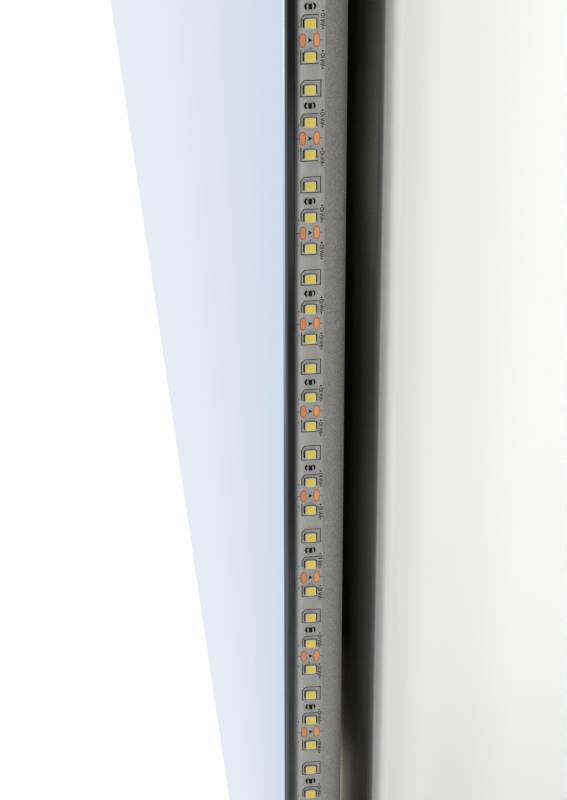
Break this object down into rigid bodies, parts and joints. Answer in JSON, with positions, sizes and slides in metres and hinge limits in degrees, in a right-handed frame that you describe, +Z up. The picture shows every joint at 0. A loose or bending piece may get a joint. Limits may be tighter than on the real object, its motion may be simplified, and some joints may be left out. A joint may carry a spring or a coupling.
{
  "type": "lighted bathroom mirror",
  "caption": "Wall-hung rectangular mirror with light tape round the outer edge of its aluminium frame, hooked over a wall rail.",
  "frame": {"origin": "on the wall plane, at the middle of the wall rail's screw holes", "axes": "+X to the viewer's right along the mirror's width, +Y into the wall, +Z up; the glass faces -Y"},
  "size_m": [1.2, 0.026, 0.8],
  "materials": {
    "silvered_glass": "silvered float glass with a ground and polished edge",
    "grey_film": "grey vinyl safety film",
    "white_bond": "double-sided foam strip",
    "bare_aluminium": "fine matt extruded aluminium",
    "key_alloy": "die-cast alloy",
    "zinc_screw": "zinc-plated steel",
    "dark_sheet": "dark matt powder coat",
    "galvanised": "galvanised sheet steel",
    "tape_board": "white flexible circuit, seen unlit",
    "phosphor": "yellow phosphor window in a white package",
    "chip_ceramic": "chip resistor with tinned ends",
    "solder": "solder",
    "wire_skin": "thin insulated wire",
    "lead_jacket": "white lead jacket",
    "black_rubber": "black rubber",
    "wall_felt": "grey felt",
    "box_plastic": "white moulded plastic",
    "green_board": "green lacquered board",
    "winding_tape": "yellow winding tape over a dark core",
    "can_sleeve": "dark capacitor sleeve",
    "clear_nylon": "natural nylon",
    "grey_foam": "closed-cell foam"
  },
  "bodies": {
    "wall_side": {"wall_rail": "galvanised"},
    "mirror": {"mirror_glass": "silvered_glass", "safety_film": "grey_film", "glass_bond_strips": "white_bond", "frame_top": "bare_aluminium", "frame_right": "bare_aluminium", "frame_bottom": "bare_aluminium", "frame_left": "bare_aluminium", "corner_keys": "key_alloy", "corner_key_screws": "zinc_screw", "standoff_top": "dark_sheet", "standoff_right": "dark_sheet", "standoff_bottom": "dark_sheet", "standoff_left": "dark_sheet", "standoff_screws": "zinc_screw", "hanger_rail": "galvanised", "lower_bar": "galvanised", "rail_screws": "zinc_screw", "rubber_bumpers": "black_rubber", "wall_felts": "wall_felt", "led_tape_top": "tape_board", "led_tape_right": "tape_board", "led_tape_bottom": "tape_board", "led_tape_left": "tape_board", "led_chips_top": "phosphor", "led_chips_right": "phosphor", "led_chips_bottom": "phosphor", "led_chips_left": "phosphor", "tape_resistors": "chip_ceramic", "corner_jumper_wires": "wire_skin", "feed_tails": "wire_skin", "solder_joints": "solder", "driver_case": "box_plastic", "driver_lid": "box_plastic", "driver_lid_screws": "zinc_screw", "driver_board": "green_board", "driver_transformer": "winding_tape", "driver_capacitors": "can_sleeve", "terminal_box": "box_plastic", "terminal_lid": "box_plastic", "terminal_lid_screws": "zinc_screw", "terminal_block": "clear_nylon", "terminal_screws": "zinc_screw", "box_cushions": "grey_foam", "lead_glands": "black_rubber", "mains_inlet_gland": "black_rubber", "box_link_lead": "lead_jacket", "tape_feed_lead": "lead_jacket", "frame_grommet": "black_rubber", "lead_saddles": "clear_nylon"}
  },
  "joints": [
    {"name": "lift_off", "type": "slide", "parent": "wall_side", "child": "mirror", "axis": [0, 0, 1], "range_m": [0, 0.0125]}
  ]
}
